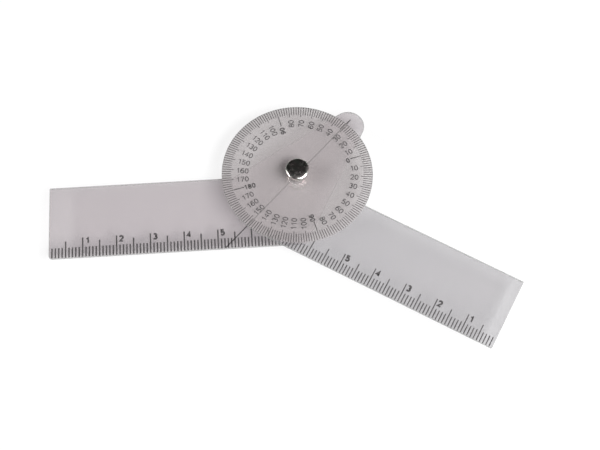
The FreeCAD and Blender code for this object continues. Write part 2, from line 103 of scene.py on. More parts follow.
class NodeGraph:
    """Node tree of one material or world, with short ways to add and link nodes."""

    def __init__(self, owner: bpy.types.ID) -> None:
        """Empty the owner's tree and keep it.

        Args:
            owner: Material or world whose nodes are made here.
        """
        owner.use_nodes = True
        self.tree = owner.node_tree
        self.tree.nodes.clear()

    def add(self, kind: str, settings: dict | None = None, **inputs: object) -> bpy.types.Node:
        """Add a node.

        Args:
            kind: Blender's name of the node type.
            settings: Properties of the node itself.
            inputs: Numbers, colours or output sockets, by the input's name with _ for a space,
                or by in0, in1 and so on for an input's place.

        Returns:
            The new node.
        """
        node = self.tree.nodes.new(kind)
        for name, value in (settings or {}).items():
            setattr(node, name, value)
        for name, value in inputs.items():
            numbered = name.startswith("in") and name[2:].isdigit()
            socket = node.inputs[int(name[2:]) if numbered else name.replace("_", " ")]
            if isinstance(value, bpy.types.NodeSocket):
                self.tree.links.new(value, socket)
            else:
                socket.default_value = value
        return node

    def combine(self, operation: str, first: object, second: object) -> bpy.types.NodeSocket:
        """Result of a math node on two numbers or sockets."""
        node = self.add("ShaderNodeMath", {"operation": operation}, in0=first, in1=second)
        return node.outputs[0]

    def noise(self, grain: Grain) -> bpy.types.NodeSocket:
        """Noise on the object's own coordinates.

        Args:
            grain: The pattern.

        Returns:
            The noise as a number about 0.5.
        """
        place = self.add("ShaderNodeTexCoord").outputs["Object"]
        turned = self.add("ShaderNodeVectorRotate", Vector=place, Angle=grain.turn).outputs[0]
        scaled = self.add("ShaderNodeVectorMath", {"operation": "MULTIPLY"}, in0=turned,
                          in1=grain.stretch)
        noise = self.add("ShaderNodeTexNoise", Vector=scaled.outputs[0], Scale=grain.scale,
                         Detail=grain.detail)
        return noise.outputs["Fac"]

    def span(self, value: bpy.types.NodeSocket, low: float, high: float, to_low: float,
             to_high: float) -> bpy.types.NodeSocket:
        """Move a number from one span to another, held at the ends."""
        node = self.add("ShaderNodeMapRange", {"clamp": True}, Value=value, From_Min=low,
                        From_Max=high, To_Min=to_low, To_Max=to_high)
        return node.outputs["Result"]

    def graded(self, grain: Grain, start: float, end: float) -> bpy.types.NodeSocket:
        """Number that goes from start to end with the grain's noise."""
        return self.span(self.noise(grain), grain.low, grain.high, start, end)

    def bump(self, relief: Relief) -> bpy.types.NodeSocket:
        """Normal of a surface that carries the relief."""
        height = self.noise(relief.grain)
        return self.add("ShaderNodeBump", Strength=relief.strength, Distance=relief.height,
                        Height=height).outputs[0]

    def nearness(self, direction: bpy.types.NodeSocket, target: Vector, far: float,
                 near: float) -> bpy.types.NodeSocket:
        """Number that rises from 0 to 1 as a direction comes near another.

        Args:
            direction: Unit vector that varies.
            target: Unit vector that it is compared with.
            far: Angle between them in degrees where the rise starts.
            near: Angle in degrees where it ends.

        Returns:
            The number.
        """
        product = self.add("ShaderNodeVectorMath", {"operation": "DOT_PRODUCT"}, in0=direction,
                           in1=target)
        return self.span(product.outputs["Value"], math.cos(math.radians(far)),
                         math.cos(math.radians(near)), 0.0, 1.0)

    def blend(self, factor: object, first: object, second: object) -> bpy.types.NodeSocket:
        """Mix of two colours."""
        node = self.add("ShaderNodeMix", {"data_type": "RGBA"})
        for place, value in ((0, factor), (6, first), (7, second)):
            if isinstance(value, bpy.types.NodeSocket):
                self.tree.links.new(value, node.inputs[place])
            else:
                node.inputs[place].default_value = value
        return node.outputs[2]

    def mix(self, factor: object, first: object, second: object) -> bpy.types.NodeSocket:
        """Mix of two shaders."""
        return self.add("ShaderNodeMixShader", in0=factor, in1=first, in2=second).outputs[0]

    def show(self, shader: bpy.types.NodeSocket, kind: str = "ShaderNodeOutputMaterial") -> None:
        """Send a shader to the output."""
        self.add(kind, Surface=shader)


Colour = tuple[float, float, float]


def rgba(colour: Colour) -> tuple[float, float, float, float]:
    """Colour with full alpha."""
    return (*colour, 1.0)


def heading_vector(bearing: float, elevation: float) -> Vector:
    """Unit vector at a bearing from +X and a height above the floor, in degrees."""
    flat = math.cos(math.radians(elevation))
    return Vector((flat * math.cos(math.radians(bearing)), flat * math.sin(math.radians(bearing)),
                   math.sin(math.radians(elevation))))


@dataclass(frozen=True)
class ClearSheet:
    """Face of clear polished plastic: a faint haze, fine handling marks and its gloss."""

    name: str = "pointer_sheet"
    haze: float = 0.105
    haze_colour: Colour = (0.62, 0.6, 0.655)
    clear_colour: Colour = (0.98, 0.958, 0.96)
    refraction: float = 1.49
    gloss_roughness: float = 0.2
    haze_roughness: float = 0.4
    clouds: Grain = Grain(scale=70.0, detail=2, low=0.3, high=0.7)
    cloud_haze: float = 0.01
    marks: Grain = Grain(scale=300.0, detail=1, low=0.76, high=0.84, stretch=(1.0, 0.05, 1.0),
                         turn=0.9)
    mark_haze: float = 0.02

    def haze_nodes(self, graph: NodeGraph) -> tuple[object, object]:
        """Strength and colour of the haze.

        Args:
            graph: Nodes of the material.

        Returns:
            A number or socket, and a colour or socket.
        """
        return self.haze, rgba(self.haze_colour)

    def material(self) -> bpy.types.Material:
        """Build the material."""
        made = bpy.data.materials.new(self.name)
        graph = NodeGraph(made)
        strength, colour = self.haze_nodes(graph)
        cloud = graph.graded(self.clouds, -self.cloud_haze, self.cloud_haze)
        mark = graph.graded(self.marks, 0.0, self.mark_haze)
        haze = graph.combine("ADD", graph.combine("ADD", cloud, mark), strength)
        dull = graph.add("ShaderNodeBsdfPrincipled", Base_Color=colour,
                         Roughness=self.haze_roughness)
        clear = graph.add("ShaderNodeBsdfTransparent", Color=rgba(self.clear_colour))
        film = graph.mix(haze, clear.outputs[0], dull.outputs[0])
        gloss = graph.add("ShaderNodeBsdfAnisotropic", Roughness=self.gloss_roughness)
        back = graph.add("ShaderNodeNewGeometry").outputs["Backfacing"]
        mirror = graph.add("ShaderNodeFresnel", IOR=self.refraction).outputs[0]
        front = graph.combine("MULTIPLY", mirror, graph.combine("SUBTRACT", 1.0, back))
        graph.show(graph.mix(front, film, gloss.outputs[0]))
        return made


@dataclass(frozen=True)
class DiscSheet(ClearSheet):
    """Face of the dial's plastic, whose round printed part has a stronger haze of another colour
    than its arm.
    """

    name: str = "dial_sheet"
    haze_colour: Colour = (0.55, 0.56, 0.6)
    clear_colour: Colour = (0.985, 0.975, 0.978)
    disc_haze: float = 0.25
    disc_colour: Colour = (0.67, 0.63, 0.625)
    disc_radius: float = 22.9
    disc_fade: float = 0.25

    def haze_nodes(self, graph: NodeGraph) -> tuple[object, object]:
        """Strength and colour of the haze, by the distance from the pivot.

        Args:
            graph: Nodes of the material.

        Returns:
            Two sockets.
        """
        place = graph.add("ShaderNodeTexCoord").outputs["Object"]
        level = graph.add("ShaderNodeVectorMath", {"operation": "MULTIPLY"}, in0=place,
                          in1=(1, 1, 0))
        reach = graph.add("ShaderNodeVectorMath", {"operation": "LENGTH"}, in0=level.outputs[0])
        outside = graph.span(reach.outputs["Value"], self.disc_radius * MM,
                             (self.disc_radius + self.disc_fade) * MM, 0.0, 1.0)
        strength = graph.span(outside, 0.0, 1.0, self.disc_haze, self.haze)
        return strength, graph.blend(outside, rgba(self.disc_colour), rgba(self.haze_colour))


@dataclass(frozen=True)
class CutEdge:
    """Cut edge of the clear plastic, which gathers light and looks milky."""

    name: str = "cut_edge"
    haze: float = 0.42
    colour: Colour = (0.41, 0.42, 0.405)
    roughness: float = 0.25
    saw_lines: Grain = Grain(scale=2500.0, detail=2, low=0.35, high=0.65,
                             stretch=(1.0, 1.0, 0.05))
    saw_haze: float = 0.1

    def material(self) -> bpy.types.Material:
        """Build the material."""
        made = bpy.data.materials.new(self.name)
        graph = NodeGraph(made)
        saw = graph.graded(self.saw_lines, -self.saw_haze, self.saw_haze)
        dull = graph.add("ShaderNodeBsdfPrincipled", Base_Color=rgba(self.colour),
                         Roughness=self.roughness)
        clear = graph.add("ShaderNodeBsdfTransparent")
        haze = graph.combine("ADD", saw, self.haze)
        graph.show(graph.mix(haze, clear.outputs[0], dull.outputs[0]))
        return made


@dataclass(frozen=True)
class PrintedInk:
    """Screen printed ink: dark grey, slightly uneven in cover."""

    name: str = "printed_ink"
    colour: Colour = (0.075, 0.07, 0.071)
    thin_colour: Colour = (0.12, 0.113, 0.115)
    cover: Grain = Grain(scale=1400.0, detail=3, low=0.45, high=0.7)
    sheen: Grain = Grain(scale=3000.0, detail=2, low=0.3, high=0.7)
    glossy: float = 0.42
    dull: float = 0.6
    tooth: Relief = Relief(Grain(scale=4000.0, detail=3), strength=0.15, height=0.00002)

    def material(self) -> bpy.types.Material:
        """Build the material."""
        made = bpy.data.materials.new(self.name)
        graph = NodeGraph(made)
        cover = graph.graded(self.cover, 0.0, 1.0)
        colour = graph.blend(cover, rgba(self.colour), rgba(self.thin_colour))
        rough = graph.graded(self.sheen, self.glossy, self.dull)
        ink = graph.add("ShaderNodeBsdfPrincipled", Base_Color=colour, Roughness=rough,
                        Normal=graph.bump(self.tooth))
        graph.show(ink.outputs[0])
        return made


@dataclass(frozen=True)
class NickelPlate:
    """Bright nickel plating on pressed sheet metal, with worn tints, smudges and soft dents."""

    name: str = "nickel_plate"
    colour: Colour = (0.78, 0.7, 0.68)
    worn_colour: Colour = (0.64, 0.68, 0.62)
    polished: float = 0.15
    smudged: float = 0.28
    wear: Grain = Grain(scale=450.0, detail=3, low=0.42, high=0.6)
    smudges: Grain = Grain(scale=1100.0, detail=2, low=0.48, high=0.64)
    dents: Relief = Relief(Grain(scale=800.0, detail=1), strength=0.4, height=0.0001)

    def material(self) -> bpy.types.Material:
        """Build the material."""
        made = bpy.data.materials.new(self.name)
        graph = NodeGraph(made)
        wear = graph.graded(self.wear, 0.0, 1.0)
        colour = graph.blend(wear, rgba(self.colour), rgba(self.worn_colour))
        rough = graph.graded(self.smudges, self.polished, self.smudged)
        metal = graph.add("ShaderNodeBsdfPrincipled", Base_Color=colour, Metallic=1.0,
                          Roughness=rough, Normal=graph.bump(self.dents))
        graph.show(metal.outputs[0])
        return made


@dataclass(frozen=True)
class TurnedSteel:
    """Turned and plated steel of the rivet's tube and stem, with fine rings."""

    name: str = "turned_steel"
    colour: Colour = (0.55, 0.54, 0.52)
    smooth: float = 0.22
    grooved: float = 0.4
    rings: Relief = Relief(Grain(scale=6000.0, detail=1, low=0.3, high=0.7,
                                 stretch=(0.02, 0.02, 1.0)), strength=0.2, height=0.00003)

    def material(self) -> bpy.types.Material:
        """Build the material."""
        made = bpy.data.materials.new(self.name)
        graph = NodeGraph(made)
        rough = graph.graded(self.rings.grain, self.smooth, self.grooved)
        metal = graph.add("ShaderNodeBsdfPrincipled", Base_Color=rgba(self.colour), Metallic=1.0,
                          Roughness=rough, Normal=graph.bump(self.rings))
        graph.show(metal.outputs[0])
        return made


@dataclass(frozen=True)
class StudioFloor:
    """Pale floor, seen as white with a light shadow where nothing clear lies in front of it."""

    name: str = "studio_floor"
    colour: Colour = (0.62, 0.62, 0.62)
    seen_colour: Colour = (1.0, 1.0, 1.0)
    glow: float = 0.7
    # Between no clear face in front and one
    first_face: float = 0.5

    def material(self) -> bpy.types.Material:
        """Build the material."""
        made = bpy.data.materials.new(self.name)
        graph = NodeGraph(made)
        path = graph.add("ShaderNodeLightPath").outputs
        sight = graph.combine("MAXIMUM", path["Is Camera Ray"], path["Is Glossy Ray"])
        sight = graph.combine("MAXIMUM", sight, path["Is Transmission Ray"])
        bare = graph.combine("LESS_THAN", path["Transparent Depth"], self.first_face)
        white = graph.combine("MULTIPLY", sight, bare)
        colour = graph.blend(white, rgba(self.colour), rgba(self.seen_colour))
        lit = graph.add("ShaderNodeBsdfDiffuse", Color=colour).outputs[0]
        glow = graph.add("ShaderNodeEmission", Color=rgba(self.seen_colour), Strength=1.0)
        share = graph.combine("MULTIPLY", white, self.glow)
        graph.show(graph.mix(share, lit, glow.outputs[0]))
        return made


def arc(centre: tuple[float, float], radius: float, start: float, end: float,
        step: float) -> tuple[np.ndarray, np.ndarray]:
    """Points of an arc: centre plus radius times the unit vector at equal steps of angle.

    Args:
        centre: Middle of the arc.
        radius: Its radius.
        start: First angle, in radians.
        end: Last angle, below start for a clockwise arc.
        step: Largest step of angle.

    Returns:
        Points, and the unit vectors from the centre to them.
    """
    count = max(2, math.ceil(abs(end - start) / step) + 1)
    angle = np.linspace(start, end, count)
    outward = np.stack((np.cos(angle), np.sin(angle)), axis=1)
    return np.asarray(centre) + radius * outward, outward


def rounded_corner(before: np.ndarray, corner: np.ndarray, after: np.ndarray, radius: float,
                   step: float) -> tuple[np.ndarray, np.ndarray]:
    """Round a corner of an outline that runs counter-clockwise.

    The arc's middle lies on the corner's bisector, where it is one radius from both sides.

    Args:
        before: A point of the side that arrives.
        corner: The sharp corner.
        after: A point of the side that leaves.
        radius: Radius of the rounding.
        step: Largest step of angle on the arc.

    Returns:
        Points of the arc, and the outline's outward unit normals there.
    """
    arrive = (corner - before) / np.linalg.norm(corner - before)
    leave = (after - corner) / np.linalg.norm(after - corner)
    turn = math.atan2(arrive[0] * leave[1] - arrive[1] * leave[0], float(arrive @ leave))
    left = math.copysign(1.0, turn)
    back = radius * math.tan(abs(turn) / 2)
    side = np.array((-arrive[1], arrive[0])) * left
    centre = corner - arrive * back + side * radius
    start = math.atan2(-side[1], -side[0])
    points, outward = arc(tuple(centre), radius, start, start + turn, step)
    return points, outward * left


def join_runs(runs: list[tuple[np.ndarray, np.ndarray]],
              spacing: float) -> tuple[np.ndarray, np.ndarray]:
    """Join arcs into one closed outline, with straight sides between them.

    Args:
        runs: Points and outward normals of each arc, counter-clockwise.
        spacing: Largest distance between points on a straight side.

    Returns:
        Points and outward normals of the whole outline.
    """
    points: list[np.ndarray] = []
    normals: list[np.ndarray] = []
    for (here, out), (following, _) in zip(runs, runs[1:] + runs[:1]):
        points.append(here)
        normals.append(out)
        side = following[0] - here[-1]
        length = float(np.linalg.norm(side))
        count = math.ceil(length / spacing)
        if count > 1:
            share = np.arange(1, count)[:, None] / count
            points.append(here[-1] + side * share)
            normals.append(np.repeat(np.array([[side[1], -side[0]]]) / length, count - 1, axis=0))
    return np.concatenate(points), np.concatenate(normals)


def new_mesh(name: str, corners: np.ndarray, faces: np.ndarray, smooth: np.ndarray | bool,
             slots: np.ndarray | None = None) -> bpy.types.Object:
    """Mesh object in metres, from arrays in millimetres.

    Args:
        name: Name of the piece.
        corners: Vertices in millimetres, one row each.
        faces: Vertex numbers of each four-sided face.
        smooth: Smooth shading, for all faces or one value each.
        slots: Material place of each face.

    Returns:
        The new object, linked to the scene.
    """
    mesh = bpy.data.meshes.new(name)
    mesh.from_pydata((corners * MM).tolist(), [], faces.tolist())
    mesh.polygons.foreach_set("use_smooth", np.broadcast_to(smooth, len(faces)).copy())
    if slots is not None:
        mesh.polygons.foreach_set("material_index", slots.astype(np.int32))
    mesh.update()
    piece = bpy.data.objects.new(name, mesh)
    bpy.context.scene.collection.objects.link(piece)
    return piece


def close_poles(piece: bpy.types.Object) -> None:
    """Merge the vertices of a turned piece that meet on its axis."""
    work = bmesh.new()
    work.from_mesh(piece.data)
    bmesh.ops.remove_doubles(work, verts=work.verts, dist=MERGE_DISTANCE)
    work.to_mesh(piece.data)
    work.free()


def grid_faces(rows: int, columns: int, wrap_rows: bool) -> np.ndarray:
    """Faces of a grid of vertices whose columns close round.

    Args:
        rows: Rings of vertices.
        columns: Vertices in each ring.
        wrap_rows: True if the last ring joins the first.

    Returns:
        Four vertex numbers for each face.
    """
    row = np.arange(rows if wrap_rows else rows - 1)[:, None]
    column = np.arange(columns)[None, :]
    here, right = row * columns, (row + 1) % rows * columns
    corner = [here + column, here + (column + 1) % columns,
              right + (column + 1) % columns, right + column]
    return np.stack([part.reshape(-1) for part in corner], axis=1)


def turned(points: np.ndarray, angle: float) -> np.ndarray:
    """Points turned about the pivot by an angle in radians."""
    cosine, sine = math.cos(angle), math.sin(angle)
    moved = points.copy()
    moved[:, 0] = points[:, 0] * cosine - points[:, 1] * sine
    moved[:, 1] = points[:, 0] * sine + points[:, 1] * cosine
    return moved


@dataclass
class Plate:
    """Flat sheet with softened edges and a pivot hole, in millimetres."""

    name: str
    node: str
    body: Body
    turn: float = 0.0
    bevel: float = 0.1
    bevel_steps: int = 3
    hole_radius: float = 1.65
    hole_bevel: float = 0.05
    spacing: float = 1.2
    arc_step: float = math.radians(1.0)
    corner_step: float = math.radians(15.0)
    ray_start: tuple[float, float] = (0.3, -0.8)

    def outline(self) -> tuple[np.ndarray, np.ndarray]:
        """Points and outward normals of the sheet's edge, counter-clockwise, before its turn."""
        raise NotImplementedError

    def hole_points(self, edge: np.ndarray) -> np.ndarray:
        """Points of the hole's rim that belong to the edge points.

        Each lies where the ray to the edge point leaves the hole. The rays start at a point in
        the hole from which the whole edge is in sight.

        Args:
            edge: Points of the outline.

        Returns:
            One point of the rim for each.
        """
        start = np.array(self.ray_start)
        ray = edge - start
        ray /= np.linalg.norm(ray, axis=1, keepdims=True)
        along = ray @ start
        reach = -along + np.sqrt(along ** 2 - start @ start + self.hole_radius ** 2)
        return start + ray * reach[:, None]

    def build(self, materials: list[bpy.types.Material]) -> bpy.types.Object:
        """Make the plate's mesh.

        The surface is a ring of sections: each section starts in the hole's wall, crosses the
        top face, goes over the bevel and down the edge, and returns under the plate. Along a
        bevel the section is a quarter of a circle, drawn with the outline's normal.

        Args:
            materials: Materials of the faces and of the cut edge.

        Returns:
            The finished piece.
        """
        low, high = (corner.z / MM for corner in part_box(self.node))
        edge, normal = self.outline()
        rim = self.hole_points(edge)
        inward = rim / np.linalg.norm(rim, axis=1, keepdims=True)
        quarter = np.linspace(0, math.pi / 2, self.bevel_steps + 1)
        rings: list[np.ndarray] = []

        def ring(points: np.ndarray, height: float) -> None:
            """Add one ring of vertices."""
            rings.append(np.column_stack((points, np.full(len(points), height))))

        ring(rim, low + self.hole_bevel)
        ring(rim, high - self.hole_bevel)
        ring(rim + inward * self.hole_bevel, high)
        for angle in quarter:
            inset = self.bevel * (1 - math.sin(angle))
            ring(edge - normal * inset, high - self.bevel * (1 - math.cos(angle)))
        for angle in quarter[::-1]:
            inset = self.bevel * (1 - math.sin(angle))
            ring(edge - normal * inset, low + self.bevel * (1 - math.cos(angle)))
        ring(rim + inward * self.hole_bevel, low)

        faces = grid_faces(len(rings), len(edge), True)[:, ::-1]
        row = np.repeat(np.arange(len(rings)), len(edge))
        # Faces in a row join its ring to the next one
        top, bottom = 2, len(rings) - 2
        flat = (row == top) | (row == bottom)
        corners = turned(np.concatenate(rings), self.turn)
        piece = new_mesh(self.name, corners, faces, ~flat, (~flat).astype(int))
        for material in materials:
            piece.data.materials.append(material)
        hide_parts(self.node)
        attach(piece, self.body.value)
        return piece


@dataclass
class DialPlate(Plate):
    """Upper sheet: the disc and its ruler arm."""

    name: str = "dial_plate"
    node: str = "dial_sheet"
    body: Body = Body.DIAL
    ruler_corner: float = 0.4
    far_corner: float = 0.25
    inner_corner: float = 0.3

    def outline(self) -> tuple[np.ndarray, np.ndarray]:
        """Disc, then the arm's ruler edge, outer end and upper edge, and a small inner rounding."""
        low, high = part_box(self.node)
        radius, length = high.y / MM, high.x / MM
        along = math.sqrt((radius + self.inner_corner) ** 2 - self.inner_corner ** 2)
        start = math.atan2(self.inner_corner, along)
        corners = [np.array(point) for point in (
            (0.0, -radius), (length, -radius), (length, 0.0), (radius, 0.0))]
        inner, away = arc((along, self.inner_corner), self.inner_corner, -math.pi / 2,
                          start - math.pi, self.corner_step)
        return join_runs([
            arc((0.0, 0.0), radius, start, 1.5 * math.pi, self.arc_step),
            rounded_corner(*corners[0:3], self.ruler_corner, self.corner_step),
            rounded_corner(*corners[1:4], self.far_corner, self.corner_step),
            (inner, -away),
        ], self.spacing)


@dataclass
class IndexPlate(Plate):
    """Lower sheet: the ruler arm and the pointer with its round tab."""

    name: str = "index_plate"
    node: str = "index_sheet"
    body: Body = Body.INDEX
    length: float = ARM_LENGTH
    width: float = ARM_WIDTH
    tab_reach: float = 23.24
    tab_angle: float = math.radians(43.0)
    tab_radius: float = 4.95
    tab_step: float = math.radians(3.0)
    upper_slope: float = math.radians(30.3)
    lower_slope: float = math.radians(60.9)
    ruler_corner: float = 1.0
    far_corner: float = 0.25
    foot_corner: float = 0.4
    root_corner: float = 1.0

    def outline(self) -> tuple[np.ndarray, np.ndarray]:
        """Arm and pointer as five corners, of which the tab is one with a large rounding."""
        tab = self.tab_reach * np.array((math.cos(self.tab_angle), math.sin(self.tab_angle)))
        across = np.array((-math.sin(self.upper_slope), math.cos(self.upper_slope)))
        upper = tab + across * self.tab_radius
        across = np.array((math.sin(self.lower_slope), -math.cos(self.lower_slope)))
        lower = tab + across * self.tab_radius
        root = np.array((upper[0] - upper[1] / math.tan(self.upper_slope), 0.0))
        foot = np.array((lower[0] - (lower[1] + self.width) / math.tan(self.lower_slope),
                         -self.width))
        rise = (root[1] - foot[1] + math.tan(self.lower_slope) * foot[0]
                - math.tan(self.upper_slope) * root[0])
        reach = rise / (math.tan(self.lower_slope) - math.tan(self.upper_slope))
        tip = np.array((reach, (reach - root[0]) * math.tan(self.upper_slope)))
        corners = [np.array((-self.length, -self.width)), foot, tip, root,
                   np.array((-self.length, 0.0))]
        before, after = corners[-1:] + corners[:-1], corners[1:] + corners[:1]
        radii = [self.ruler_corner, self.foot_corner, self.tab_radius, self.root_corner,
                 self.far_corner]
        steps = [self.corner_step, self.corner_step, self.tab_step, self.corner_step,
                 self.corner_step]
        runs = [rounded_corner(*corner) for corner in zip(before, corners, after, radii, steps)]
        return join_runs(runs, self.spacing)


def bow(middle: tuple[float, float], half: tuple[float, float], start: float, end: float,
        count: int = 13) -> np.ndarray:
    """Part of an ellipse: its middle plus its half sizes times cosine and sine, in degrees."""
    angle = np.radians(np.linspace(start, end, count))
    return np.array(middle) + np.array(half) * np.stack((np.cos(angle), np.sin(angle)), axis=1)


def bar(*points: tuple[float, float]) -> np.ndarray:
    """Straight strokes through the points."""
    return np.array(points, float)


SIX = np.concatenate((bow((0.62, 0.36), (0.62, 0.64), 55, 180),
                      bow((0.5, 0.31), (0.5, 0.31), 185, 535, 25)))

# Middle lines of the strokes of each digit, in a box one unit wide and high
DIGITS: dict[str, list[np.ndarray]] = {
    "0": [bow((0.5, 0.5), (0.5, 0.5), 90, 450, 29)],
    "1": [bar((0.27, 0.76), (0.72, 1.0), (0.72, 0.0))],
    "2": [np.concatenate((bow((0.5, 0.71), (0.48, 0.29), 165, -35),
                          bar((0.02, 0.0), (1.0, 0.0))))],
    "3": [bow((0.48, 0.755), (0.42, 0.245), 150, -90),
          bow((0.48, 0.265), (0.5, 0.265), 90, -150)],
    "4": [bar((0.74, 0.0), (0.74, 1.0), (0.0, 0.3), (1.0, 0.3))],
    "5": [np.concatenate((bar((0.92, 1.0), (0.14, 1.0)),
                          bow((0.48, 0.31), (0.5, 0.31), 138, -150, 19)))],
    "6": [SIX],
    "7": [bar((0.0, 1.0), (1.0, 1.0), (0.35, 0.0))],
    "8": [bow((0.5, 0.765), (0.42, 0.235), 90, 450, 21),
          bow((0.5, 0.265), (0.5, 0.265), 90, 450, 25)],
    "9": [1.0 - SIX],
}


@dataclass(frozen=True)
class Lettering:
    """Size of printed numbers, in millimetres."""

    height: float
    width: float
    pitch: float
    stroke: float
    mitre_limit: float = 1.6

    def stroke_outline(self, path: np.ndarray) -> np.ndarray:
        """Left and right sides of a stroke.

        Each side is the middle line moved by half the stroke along the mean of the two
        neighbouring normals, lengthened at corners so that the stroke keeps its width, but not
        past the limit.

        Args:
            path: Middle line, in millimetres.

        Returns:
            Array of two sides, each with one point for every point of the path.
        """
        step = np.diff(path, axis=0)
        step /= np.linalg.norm(step, axis=1, keepdims=True)
        normal = np.stack((-step[:, 1], step[:, 0]), axis=1)
        before = np.concatenate((normal[:1], normal))
        after = np.concatenate((normal, normal[-1:]))
        mean = before + after
        mean /= np.linalg.norm(mean, axis=1, keepdims=True)
        longer = 1 / np.maximum(np.sum(mean * after, axis=1), 1 / self.mitre_limit)
        shift = mean * (longer * self.stroke / 2)[:, None]
        return np.stack((path + shift, path - shift))

    def digit(self, sign: str) -> list[np.ndarray]:
        """Sides of the strokes of one digit whose lower left corner is at the origin."""
        inner = np.array((self.width - self.stroke, self.height - self.stroke))
        return [self.stroke_outline(path * inner + self.stroke / 2) for path in DIGITS[sign]]

    def length(self, text: str) -> float:
        """Length of a number from its first digit's left to its last digit's right."""
        return self.pitch * (len(text) - 1) + self.width


@dataclass(frozen=True)
class Label:
    """One printed number: where its middle lies and which way it reads."""

    text: str
    middle: tuple[float, float]
    heading: float


@dataclass
class PrintedNumbers:
    """Group of printed numbers on one sheet, as thin closed films."""

    name: str
    body: Body
    lettering: Lettering
    labels: list[Label]
    carrier: str
    turn: float = 0.0
    film: float = 0.03

    def strokes(self) -> list[np.ndarray]:
        """Sides of all strokes of all labels, in place on the sheet."""
        placed = []
        for label in self.labels:
            start = np.array((-self.lettering.length(label.text) / 2, -self.lettering.height / 2))
            for place, sign in enumerate(label.text):
                shift = start + np.array((place * self.lettering.pitch, 0.0))
                for sides in self.lettering.digit(sign):
                    flat = turned((sides + shift).reshape(-1, 2), label.heading)
                    placed.append((flat + np.array(label.middle)).reshape(sides.shape))
        return placed

    def build(self, material: bpy.types.Material) -> bpy.types.Object:
        """Make the films.

        Every stroke is a bar of four long sides, bottom and top left and right, carried along
        its middle line and closed at both ends.

        Args:
            material: The ink.

        Returns:
            The finished piece.
        """
        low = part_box(self.carrier)[1].z / MM
        high = low + self.film
        corners: list[np.ndarray] = []
        faces: list[np.ndarray] = []
        used = 0
        for left, right in self.strokes():
            count = len(left)
            section = [(right, low), (right, high), (left, high), (left, low)]
            lines = [np.column_stack((side, np.full(count, level))) for side, level in section]
            corners.append(np.stack(lines, axis=1).reshape(-1, 3))
            ends = np.array([[0, 3, 2, 1], [0, 1, 2, 3]]) + np.array([[0], [4 * (count - 1)]])
            faces.append(np.concatenate((grid_faces(count, 4, False), ends)) + used)
            used += 4 * count
        points = turned(np.concatenate(corners), self.turn)
        piece = new_mesh(self.name, points, np.concatenate(faces), False)
        piece.data.materials.append(material)
        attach(piece, self.body.value)
        return piece


@dataclass(frozen=True)
class DialScale:
    """Where the numbers of the dial stand, in millimetres and degrees."""

    zero: float = 44.7
    centre: tuple[float, float] = (0.1, -0.3)
    outer_end: float = 18.65
    plain: Lettering = Lettering(height=1.75, width=1.17, pitch=1.33, stroke=0.25)
    bold: Lettering = Lettering(height=1.65, width=1.1, pitch=1.25, stroke=0.34)
    # Text, bearing and distance of each number at a right angle
    bold_middles: tuple[tuple[str, float, float], ...] = (
        ("0", 0.0, 16.2), ("90", -90.0, 15.4), ("180", -180.0, 15.0), ("90", 90.0, 15.4))
    # Degrees behind the line, in full up to the first reading and gone at the second
    lag: float = 1.2
    lag_fade: tuple[float, float] = (60.0, 105.0)
    # Cosine of the bearing from which numbers count as on the zero side
    sideways: float = -0.01

    def heading(self, bearing: float) -> float:
        """Reading direction of a number: outwards on the zero side, inwards on the other.

        Args:
            bearing: Angle of the number from the zero line, in degrees.

        Returns:
            Direction in radians from the dial arm.
        """
        outward = math.cos(math.radians(bearing)) > self.sideways
        return math.radians(self.zero + bearing + (0 if outward else 180))

    def label(self, text: str, bearing: float, middle: float) -> Label:
        """Number at a bearing from the zero line and a distance from the numbers' centre."""
        angle = math.radians(self.zero + bearing)
        place = (self.centre[0] + middle * math.cos(angle),
                 self.centre[1] + middle * math.sin(angle))
        return Label(text, place, self.heading(bearing))

    def behind(self, reading: int) -> float:
        """Degrees by which a counter-clockwise number stands behind its line, fading out."""
        full, gone = self.lag_fade
        return self.lag * min(max((gone - reading) / (gone - full), 0.0), 1.0)

    def plain_labels(self) -> list[Label]:
        """Every ten degrees both ways from zero, apart from the right angles."""
        made = []
        for side in (-1, 1):
            for reading in range(10, 180, 10):
                if reading != 90:
                    text = str(reading)
                    middle = self.outer_end - self.plain.length(text) / 2
                    behind = self.behind(reading) if side > 0 else 0.0
                    made.append(self.label(text, side * reading - behind, middle))
        return made

    def bold_labels(self) -> list[Label]:
        """The four numbers at right angles."""
        return [self.label(text, bearing, middle) for text, bearing, middle in self.bold_middles]


@dataclass(frozen=True)
class RulerScale:
    """Where the centimetre numbers of a ruler arm stand, in millimetres."""

    side: int
    beside: float
    arm_length: float = ARM_LENGTH
    edge: float = -ARM_WIDTH
    top: float = 6.3
    centimetre: float = 10.0
    last: int = 5
    lettering: Lettering = Lettering(height=2.2, width=1.5, pitch=1.6, stroke=0.55)

    def labels(self) -> list[Label]:
        """Numbers from 1 to the last, each to the right of its centimetre line."""
        height = self.edge + self.top - self.lettering.height / 2
        marks = np.arange(1, self.last + 1)
        places = self.side * (self.arm_length - self.centimetre * marks) + self.beside
        return [Label(str(mark), (place, height), 0.0) for mark, place in zip(marks, places)]


